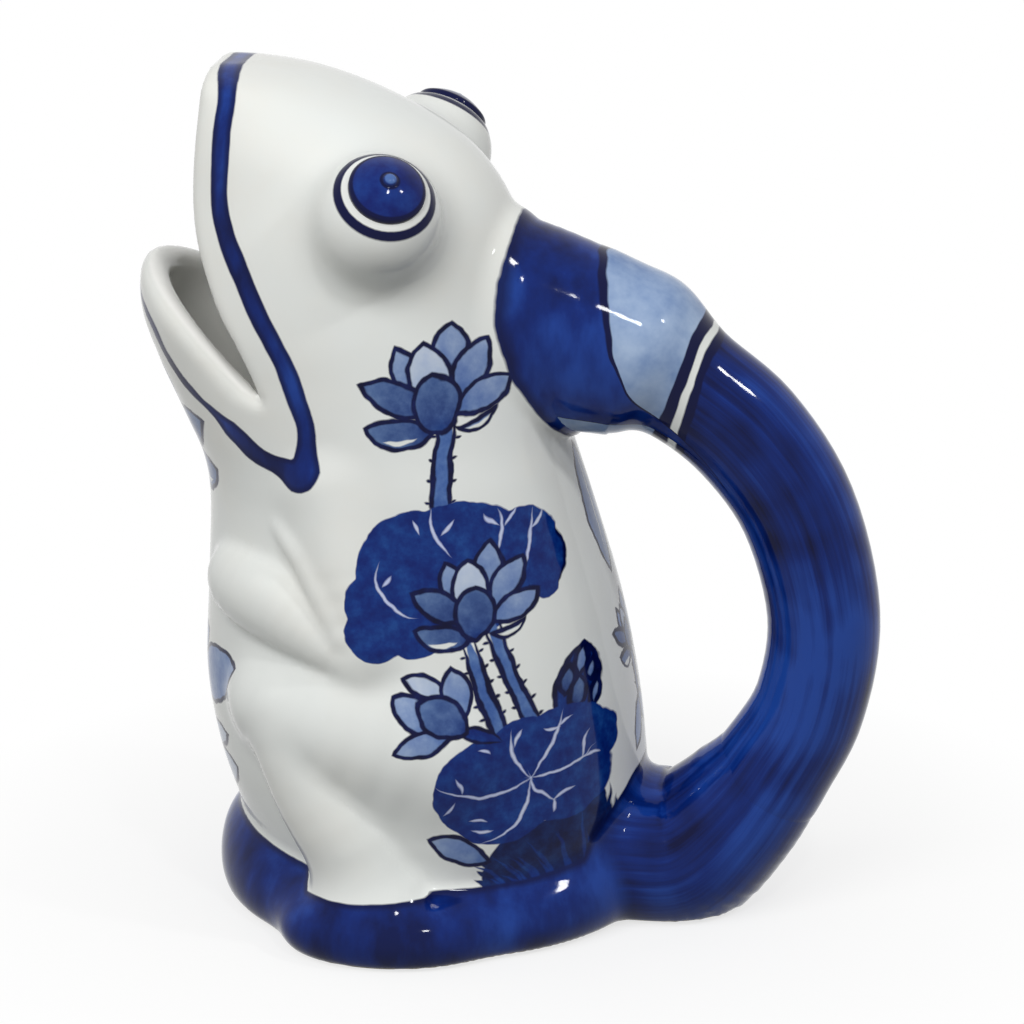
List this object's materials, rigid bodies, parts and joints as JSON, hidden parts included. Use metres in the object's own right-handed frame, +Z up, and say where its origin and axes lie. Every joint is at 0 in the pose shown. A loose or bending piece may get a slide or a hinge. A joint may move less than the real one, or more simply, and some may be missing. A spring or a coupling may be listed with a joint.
{
  "type": "frog pitcher",
  "caption": "Glazed ceramic pitcher in the form of a sitting frog: its upturned open mouth pours, and a thick loop handle runs from the neck to the foot.",
  "frame": {"origin": "on the surface that the pitcher stands on, below the middle of its outline seen from above", "axes": "+Z up; the frog looks along -X and the handle is at +X; its left side is at -Y"},
  "size_m": [0.2068, 0.139, 0.2375],
  "materials": {
    "white_glaze": "clear gloss glaze over a white body",
    "cobalt_glaze": "clear gloss glaze over brushed cobalt",
    "pale_blue_glaze": "clear gloss glaze over a thin cobalt wash",
    "bare_clay": "unglazed, matt"
  },
  "bodies": {
    "root": {"floor_disc": "bare_clay", "base_plinth": "cobalt_glaze", "torso": "white_glaze", "head": "white_glaze", "lower_jaw": "white_glaze", "left_front_leg": "white_glaze", "left_hind_leg": "white_glaze", "left_hind_foot": "cobalt_glaze", "left_eye_mound": "white_glaze", "left_eye": "cobalt_glaze", "right_front_leg": "white_glaze", "right_hind_leg": "white_glaze", "right_hind_foot": "cobalt_glaze", "right_eye_mound": "white_glaze", "right_eye": "cobalt_glaze", "handle_collar": "cobalt_glaze", "handle_bulb": "pale_blue_glaze", "handle_grip": "cobalt_glaze"}
  },
  "joints": []
}
